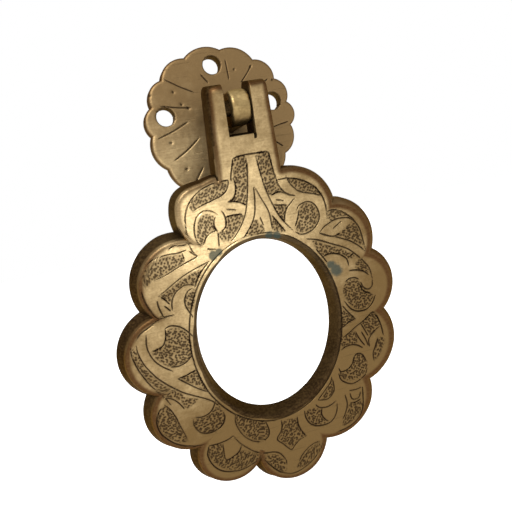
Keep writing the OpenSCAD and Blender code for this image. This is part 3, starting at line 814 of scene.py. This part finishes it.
def buildLug():
    # a stadium outline round the pin and back to the plate, carried across the width and drawn in towards
    # both faces
    k = hingeLug
    r, half = k["diameter"] / 2, k["width"] / 2

    def outline(inset):
        s = max(r - inset, 0.02)
        t = np.radians(np.linspace(-90, 90, 49))
        nose = np.column_stack([-k["out"] - s * np.cos(t), k["up"] - s * np.sin(t)])[::-1]
        line = np.linspace(-k["out"], k["foot"], 30)[1:]
        low = np.column_stack([line, np.full(29, k["up"] - s)])
        foot = np.column_stack([np.full(14, k["foot"]), np.linspace(k["up"] - s, k["up"] + s, 16)[1:-1]])
        return np.vstack([nose[::-1] * [1, 1], low, foot,
                          np.column_stack([line[::-1], np.full(29, k["up"] + s)])])

    arc = np.radians(np.linspace(0, 90, 6))
    insets = np.concatenate([[r, r * 0.8, r * 0.6, r * 0.4], k["edgeRound"] * (1 - np.sin(arc))])
    xs = np.concatenate([[half] * 4, half - k["edgeRound"] * (1 - np.cos(arc))])
    insets = np.concatenate([insets, [0] * 12, insets[::-1]])
    xs = np.concatenate([-xs, np.linspace(-(half - k["edgeRound"]), half - k["edgeRound"], 14)[1:-1],
                         xs[::-1]])
    rows = [np.column_stack([np.full(len(outline(0)), x), outline(i)]) for i, x in zip(insets, xs)]
    p = np.vstack(rows)
    rough = 0.22 * noise(p, 2.6, 51) + 0.1 * noise(p, 1.0, 52) - 0.12
    away = p - np.array([0, np.nan, k["up"]])
    away[:, 1] = p[:, 1] - np.maximum(p[:, 1].clip(-k["out"], None), -k["out"])
    away /= np.maximum(np.linalg.norm(away, axis=1), 0.5)[:, None]
    p = p + away * (rough * (p[:, 1] < k["foot"] - 0.5))[:, None]
    p[:, 0] += k["shift"]
    quads = gridFaces(len(rows), len(rows[0]), False, True)
    # the rivet's peened head on the plate's back: a low dome over a cone
    a = np.radians(np.arange(0, 360, 7.5))
    profile = [(0.01, -0.02), (1.5, -0.02), (3.0, -0.06), (4.1, -0.15), (4.35, -0.3), (3.0, -1.6),
               (2.9, -4.8), (0.01, -4.8)]
    head = np.vstack([np.column_stack([k["shift"] + q * np.sin(a), np.full(len(a), y),
                                       k["up"] + q * np.cos(a)]) for q, y in profile])
    head[:, 1] -= 0.05 * (noise(head, 1.2, 53) + 1) * (head[:, 1] > -0.4)
    quads = np.vstack([quads, gridFaces(len(profile), len(a), False, True, len(p))[:, ::-1]])
    points = np.vstack([p, head])
    n = len(points)
    shade = np.clip((points[:, 1] + 22) / 7, 0, 0.95)
    masks = plainMasks(n, shade)
    return makePiece("hinge_lug_filed", points, quads, upright, "plate", "hinge_lug", masks)


hingePin = {"diameter": 5}


def buildPin():
    # a profile of radius against length, turned about X: a rod with a chamfer and a slightly domed, dented
    # end
    k = hingePin
    r = k["diameter"] / 2
    half = knocker["neckTop"] / 2 + (knocker["neckRoot"]
                                     - knocker["neckTop"]) / 2 * knocker["forkTop"] / (knocker["forkTop"]
                                             - knocker["seamZ"])
    steps = [(0.01, 0.05), (0.6, 0.05), (1.2, 0.02), (1.8, -0.05), (2.2, -0.16), (r, -0.4)]
    ends = [(q, half + d) for q, d in steps]
    rod = [(r, x) for x in np.linspace(-half + 1, half - 1, 8)]
    profile = [(q, -x) for q, x in ends] + rod + ends[::-1]
    a = np.radians(np.arange(0, 360, 6))
    p = np.vstack([np.column_stack([np.full(len(a), x), q * np.sin(a), q * np.cos(a)]) for q, x in profile])
    p[:, 0] += 0.04 * noise(p, 1.3, 61) * (np.abs(p[:, 0]) > half - 0.3)
    n = len(p)
    # the whole pin gets the side mask at full: painted shade, as it sits inside the fork
    masks = plainMasks(n, np.ones(n))
    return makePiece("hinge_pin_rod", p, gridFaces(len(profile), len(a), False, True), hang, "knocker",
                     "hinge_pin", masks)


ring, neck, plate, lug, pin = buildRing(), buildNeck(), buildPlate(), buildLug(), buildPin()
print("meshes made")


class Value:
    # a socket that can be added, multiplied and compared as a number; each operation adds one Math node
    def __init__(self, graph, socket):
        self.graph, self.socket = graph, socket

    def math(self, operation, *others, clamp=False):
        return self.graph.node("ShaderNodeMath", {"operation": operation, "use_clamp": clamp},
                               {i: v for i, v in enumerate((self,) + others)})

    def __add__(self, other): return self.math("ADD", other)
    def __radd__(self, other): return self.math("ADD", other)
    def __mul__(self, other): return self.math("MULTIPLY", other)
    def __rmul__(self, other): return self.math("MULTIPLY", other)
    def __sub__(self, other): return self.math("SUBTRACT", other)
    def __rsub__(self, other): return (self * -1).math("ADD", other)
    def __pow__(self, other): return self.math("POWER", other)
    def clamp(self): return self.math("ADD", 0.0, clamp=True)

    def step(self, low, high):
        # 0 at low, 1 at high, smooth between, with low above high for a falling step
        return self.graph.node("ShaderNodeMapRange", {"interpolation_type": "SMOOTHSTEP"},
                               {"Value": self, "From Min": low, "From Max": high})


class Graph:
    def __init__(self, material):
        material.use_nodes = True
        self.tree = material.node_tree
        self.shader = self.tree.nodes["Principled BSDF"]

    def node(self, kind, settings=None, sockets=None, output=0):
        made = self.tree.nodes.new(kind)
        for name, value in (settings or {}).items():
            setattr(made, name, value)
        for name, value in (sockets or {}).items():
            self.feed(made.inputs[name], value)
        return Value(self, made.outputs[output])

    def feed(self, socket, value):
        if isinstance(value, Value):
            self.tree.links.new(value.socket, socket)
        else:
            socket.default_value = value

    def mix(self, factor, a, b):
        # colour mix: sockets 6 and 7 are the colours of a Mix node set to colour, and output 2 its colour
        return self.node("ShaderNodeMix", {"data_type": "RGBA"}, {0: factor, 6: a, 7: b}, 2)

    def attribute(self, name):
        return self.node("ShaderNodeAttribute", {"attribute_name": name}, {}, "Fac")


agedBrass = {
    "wornAndLit": (0.64, 0.48, 0.25, 1), "brown": (0.118, 0.073, 0.028, 1), "red": (0.058, 0.027, 0.01, 1),
    "darkDirtAndShade": (0.013, 0.0065, 0.003, 1),
    "verdigris": (0.012, 0.026, 0.022, 1), "wornRough": 0.4, "brownRough": 0.5,
    # the centre and falloff of the painted pool of light on the worn brass
    "wornAndLitAt": (-0.019, -0.028, -0.033), "wornAndLitFade": 16,
    "verdigrisSpots": [(-16, -44, 1.8), (-14.2, -43.4, 1.3), (3.2, -41.3, 1.7), (6, -41.9, 1.6),
                       (25, -58.4, 3.1), (23.6, -56.2, 1.9)],
}


def brassMaterial(name, look, wearAndLight, scratches):
    # brass under an uneven brown patina: worn bright on its front, with a painted pool of light there,
    # red-brown round the edges, near black in the cuts, and painted shade on its walls and hollows
    material = bpy.data.materials.new(name)
    g = Graph(material)
    place = g.node("ShaderNodeTexCoord", {}, {}, "Object")
    fbm = lambda scale, detail=4.0, rough=0.55: g.node("ShaderNodeTexNoise", {},
            {"Vector": place, "Scale": scale, "Detail": detail, "Roughness": rough})
    cloud, spots, fine = fbm(38), fbm(190, 5.0, 0.65), fbm(1300, 3.0)
    lineGap, matted, punch, edgeGap, side = [g.attribute(n)
                                             for n in ("lineGap", "matted", "punch", "edgeGap", "side")]
    stretched = g.node("ShaderNodeMapping", {}, {"Vector": place, "Rotation": (0, 0.35, 0),
            "Scale": (260, 900, 2600)})
    brushed = g.node("ShaderNodeTexNoise", {}, {"Vector": stretched, "Scale": 1.0, "Detail": 3.0,
                                                "Roughness": 0.6})
    scratchPlace = g.node("ShaderNodeMapping", {},
                          {"Vector": place, "Rotation": (0, -0.7, 0), "Scale": (90, 900, 2300)})
    scratch = g.node("ShaderNodeTexNoise", {}, {"Vector": scratchPlace, "Scale": 1.0,
                                                "Detail": 1.0}).step(0.66, 0.74)
    cuts = lineGap.step(1.25, 0.5)
    marks = punch.step(0.54, 0.28) * matted
    # bright round one place and browner away from it: partly wear, partly a painted pool of light, with the
    # patina's blotches on top
    away = g.node("ShaderNodeVectorMath", {"operation": "DISTANCE"}, {0: place, 1: look["wornAndLitAt"]}, "Value")
    wornAndLit = ((wearAndLight - away * look["wornAndLitFade"] + (cloud - 0.5) * 1.1 + (spots - 0.5) * 0.8).clamp()) ** 1.6
    rim = edgeGap.step(2.3, 1.0) * (1 - edgeGap.step(0.5, 0.0) * 0.25)
    colour = g.mix(wornAndLit, look["brown"], look["wornAndLit"])
    colour = g.mix((rim * (1.1 - wornAndLit * 0.4)).clamp(), colour, look["red"])
    # painted shade: where the side mask is set, on walls, backs and hollows, the colour goes near black
    colour = g.mix((side * 0.93).clamp(), colour, g.mix(cloud.step(0.4, 0.75) * 0.2, look["darkDirtAndShade"],
            look["brown"]))
    colour = g.mix(((fine - 0.5) * 1.6 + (brushed - 0.5) * 1.3 + 0.2).clamp() * 0.62, colour, look["brown"])
    colour = g.mix((matted * 0.5).clamp(), colour, look["brown"])
    dirt = (cuts * 0.85 + marks * 0.8 + spots.step(0.68, 0.76) * 0.5 + scratch * 0.2).clamp()
    colour = g.mix(dirt, colour, look["darkDirtAndShade"])
    rough = look["brownRough"] - wornAndLit * (look["brownRough"]
                                         - look["wornRough"]) + dirt * 0.25 + side * 0.12 + (fine
                                                 - 0.5) * 0.16
    metal = 1 - dirt * 0.1
    green = None
    for sx, sz, size in look.get("verdigrisSpots", []):
        c = hang([sx, -5, sz])[0]
        gap = g.node("ShaderNodeVectorMath", {"operation": "DISTANCE"}, {0: place, 1: tuple(c)}, "Value")
        spot = (gap * (1000 / size) + (spots - 0.5) * 1.6).step(1.1, 0.6)
        green = spot if green is None else green.math("MAXIMUM", spot)
    if green is not None:
        colour = g.mix((green * 0.85).clamp(), colour, look["verdigris"])
        metal, rough = metal * (1 - green * 0.8), rough + green * 0.25
    height = (brushed - 0.5) * scratches * 0.8 + (fine - 0.5) * 0.2 - cuts * 1.0 - marks * 0.9
    height = height - scratch * 0.35 + (spots - 0.5) * 0.5
    bump = g.node("ShaderNodeBump", {}, {"Strength": 0.55, "Distance": 0.00016, "Height": height})
    g.feed(g.shader.inputs["Specular Tint"], (0.6, 0.5, 0.4, 1))
    for socket, value in (("Base Color", colour), ("Roughness", rough.clamp()), ("Metallic", metal.clamp()),
                          ("Normal", bump)):
        g.feed(g.shader.inputs[socket], value)
    return material


# the lug, the pin and the plate each set their own centre and falloff for the painted pool of light
roughBrass = dict(agedBrass, wornAndLit=(0.52, 0.38, 0.17, 1), brown=(0.09, 0.055, 0.02, 1),
                  wornAndLitAt=(-0.001, -0.03, 0.006), wornAndLitFade=75, verdigrisSpots=[])
pinBrass = dict(agedBrass, wornAndLit=(0.4, 0.28, 0.12, 1), wornAndLitAt=(0, -0.025, 0), wornAndLitFade=1, verdigrisSpots=[])
plateBrass = dict(agedBrass, brown=(0.165, 0.105, 0.046, 1), wornAndLitAt=(-0.02, -0.005, -0.01), wornAndLitFade=22,
                  verdigrisSpots=[])
cast = brassMaterial("agedBrassCast", agedBrass, 1.08, 1.0)
for piece in (ring, neck):
    piece.data.materials.append(cast)
plate.data.materials.append(brassMaterial("agedBrassPlate", plateBrass, 0.66, 0.7))
lug.data.materials.append(brassMaterial("roughBrassLug", roughBrass, 1.0, 1.6))
pin.data.materials.append(brassMaterial("pinBrassRod", pinBrass, 0.55, 0.8))
print("materials made")

studio = {
    "cameraAt": (-51.7, -209.2, -25.1), "focal": 42.19, "shift": (-0.0174, -0.009),
    "floorBelow": 12, "keyPower": 5.5, "fillPower": 0.5, "worldStrength": 1.0,
}


def buildStudio():
    # a pale floor just below, one large soft light from the upper left, a weak one from the right, and a
    # pale world
    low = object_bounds()[0]
    floorMesh = bpy.data.meshes.new("floor")
    s, z = 1.6, low[2] - studio["floorBelow"] * mm
    floorMesh.from_pydata([(-s, -s, z), (s, -s, z), (s, s, z), (-s, s, z)], [], [(0, 1, 2, 3)])
    floor = bpy.data.objects.new("floor", floorMesh)
    bpy.context.scene.collection.objects.link(floor)
    pale = bpy.data.materials.new("paleFloor")
    g = Graph(pale)
    g.feed(g.shader.inputs["Base Color"], (0.85, 0.85, 0.85, 1))
    g.feed(g.shader.inputs["Emission Color"], (1, 1, 1, 1))
    g.feed(g.shader.inputs["Emission Strength"], 0.6)
    g.feed(g.shader.inputs["Roughness"], 0.9)
    floorMesh.materials.append(pale)
    for name, at, size, power in (("key", (-0.32, -0.42, 0.42), 0.35, studio["keyPower"]),
                                  ("fill", (0.45, -0.4, 0.05), 0.5, studio["fillPower"])):
        light = bpy.data.lights.new(name, "AREA")
        light.size, light.energy = size, power
        lamp = bpy.data.objects.new(name, light)
        lamp.location = at
        lamp.rotation_euler = (Vector((0, -0.02, -0.05)) - Vector(at)).to_track_quat("-Z", "Y").to_euler()
        bpy.context.scene.collection.objects.link(lamp)
    world = bpy.data.worlds.new("paleRoom")
    world.use_nodes = True
    world.node_tree.nodes["Background"].inputs[0].default_value = (1, 1, 1, 1)
    world.node_tree.nodes["Background"].inputs[1].default_value = studio["worldStrength"]
    bpy.context.scene.world = world
    camera = bpy.data.cameras.new("camera")
    camera.sensor_width, camera.lens = 36, studio["focal"]
    camera.shift_x, camera.shift_y = studio["shift"]
    eye = bpy.data.objects.new("camera", camera)
    eye.matrix_world = Matrix.Translation(Vector(studio["cameraAt"])
                                          * mm) @ Matrix(((0.939415, 0.211271, -0.269935),
                                                  (-0.285074, 0.044227, -0.957485),
                                                  (-0.190350, 0.976426, 0.101776))).to_4x4()
    bpy.context.scene.collection.objects.link(eye)
    bpy.context.scene.camera = eye
    bpy.context.scene.view_settings.view_transform = "Standard"


buildStudio()
